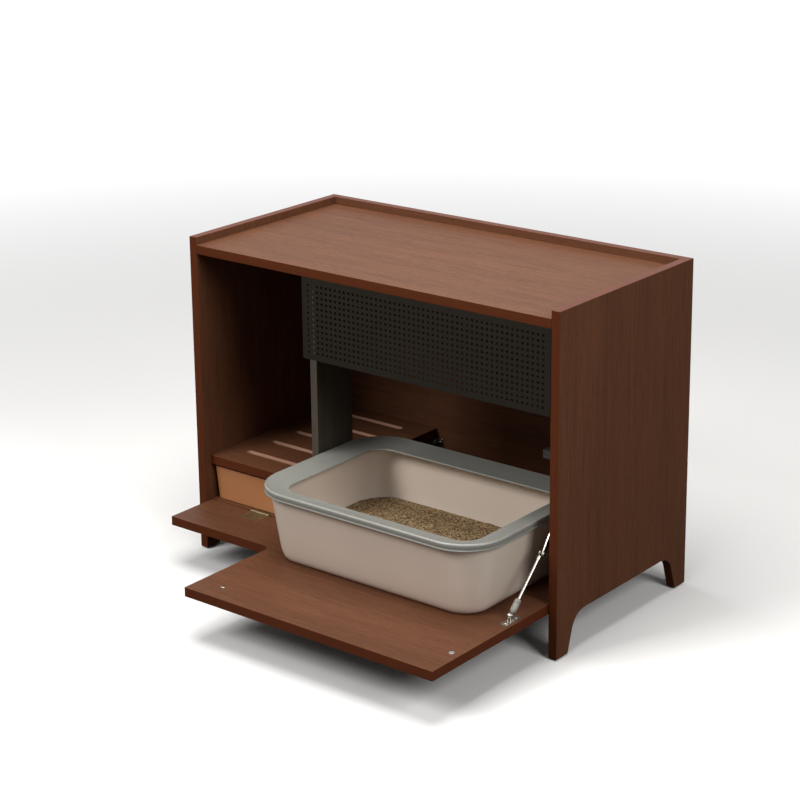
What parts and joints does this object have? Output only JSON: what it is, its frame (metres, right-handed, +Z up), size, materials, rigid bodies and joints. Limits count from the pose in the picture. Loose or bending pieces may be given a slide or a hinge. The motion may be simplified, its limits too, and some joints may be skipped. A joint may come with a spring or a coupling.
{
  "type": "cat litter box cabinet",
  "caption": "Low wood-grain cabinet on tapered feet with a perforated front band, a drop-down door with an entry notch, a slatted step over a catch tray and a rimmed litter pan.",
  "frame": {"origin": "on the floor, under the middle of the whole part as it stands with its door open", "axes": "+X to the right along the cabinet's width, +Y from the door towards the back panel, +Z up"},
  "size_m": [0.8, 0.7074, 0.598],
  "materials": {
    "brown_board": "dark red-brown wood-grain laminate on board",
    "dark_board": "dark grey-brown laminate on board",
    "beech": "plain beech",
    "dark_sheet": "dark satin powder coat",
    "black_steel": "black",
    "bright_steel": "bright zinc-plated",
    "zinc": "plain die-cast grey",
    "dark_brass": "dark bronzed",
    "magnet": "ground dark grey",
    "black_plastic": "matt black",
    "grey_plastic": "matt grey",
    "tan_plastic": "satin tan",
    "beige_plastic": "satin warm beige",
    "rim_plastic": "satin blue-grey",
    "litter": "loose speckled plant grains"
  },
  "bodies": {
    "cabinet": {"left_side_panel": "brown_board", "right_side_panel": "brown_board", "top_panel": "brown_board", "back_panel": "brown_board", "bottom_panel": "brown_board", "foot_glides": "black_plastic", "carcass_dowels": "beech", "cam_bolts": "bright_steel", "cam_discs": "zinc", "step_and_fin_dowels": "beech", "back_panel_screws": "black_steel", "perforated_grille": "dark_sheet", "grille_screws": "black_steel", "slatted_step": "dark_board", "step_side_board": "dark_board", "divider_fin": "dark_board", "catch_tray": "tan_plastic", "corner_bracket": "bright_steel", "corner_screws": "bright_steel", "fixed_hinge_leaves": "dark_brass", "fixed_leaf_screws": "dark_brass", "stay_wall_bracket": "black_steel", "stay_wall_pin": "bright_steel", "stay_wall_screws": "bright_steel", "catch_case": "black_plastic", "catch_magnet": "magnet"},
    "door": {"drop_door": "brown_board", "door_hinge_leaves": "dark_brass", "door_leaf_screws": "dark_brass", "door_knob": "dark_brass", "knob_bolt": "bright_steel", "strike_disc": "bright_steel", "stay_foot_plate": "bright_steel", "stay_foot_pin": "bright_steel", "stay_foot_screws": "bright_steel"},
    "stay_lower_arm": {"stay_lower_rod": "bright_steel", "stay_damper_sleeve": "grey_plastic", "stay_elbow_rivet": "bright_steel"},
    "stay_upper_arm": {"stay_upper_link": "black_steel"},
    "pins": {"hinge_pins": "bright_steel"},
    "litter_pan": {"pan_tub": "beige_plastic", "pan_rim": "rim_plastic", "litter_bed": "litter"}
  },
  "joints": [
    {"name": "door_hinge", "type": "hinge", "parent": "cabinet", "child": "door", "pos_m": [0, -0.02975, 0.0955], "axis": [-1, 0, 0], "range_deg": [0, 90]},
    {"name": "pin_turn", "type": "hinge", "parent": "cabinet", "child": "pins", "pos_m": [0, -0.02975, 0.0955], "axis": [-1, 0, 0], "range_deg": [0, 180]},
    {"name": "pan_carry", "type": "hinge", "parent": "pins", "child": "litter_pan", "pos_m": [0, -0.11725, 0.0955], "axis": [-1, 0, 0], "range_deg": [-180, 0]},
    {"name": "stay_link_pivot", "type": "hinge", "parent": "cabinet", "child": "stay_upper_arm", "pos_m": [0.375, 0.01875, 0.277], "axis": [1, 0, 0], "range_deg": [0, 78.43]},
    {"name": "stay_rod_pivot", "type": "hinge", "parent": "door", "child": "stay_lower_arm", "pos_m": [0.37, -0.13275, 0.1055], "axis": [1, 0, 0], "range_deg": [0, 42.69]}
  ],
  "couplings": [
    {"joint": "pin_turn", "follows": "door_hinge", "ratio": 2},
    {"joint": "pan_carry", "follows": "door_hinge", "ratio": -2},
    {"joint": "stay_link_pivot", "follows": "door_hinge", "ratio": 0.8714},
    {"joint": "stay_rod_pivot", "follows": "door_hinge", "ratio": 0.47424}
  ]
}
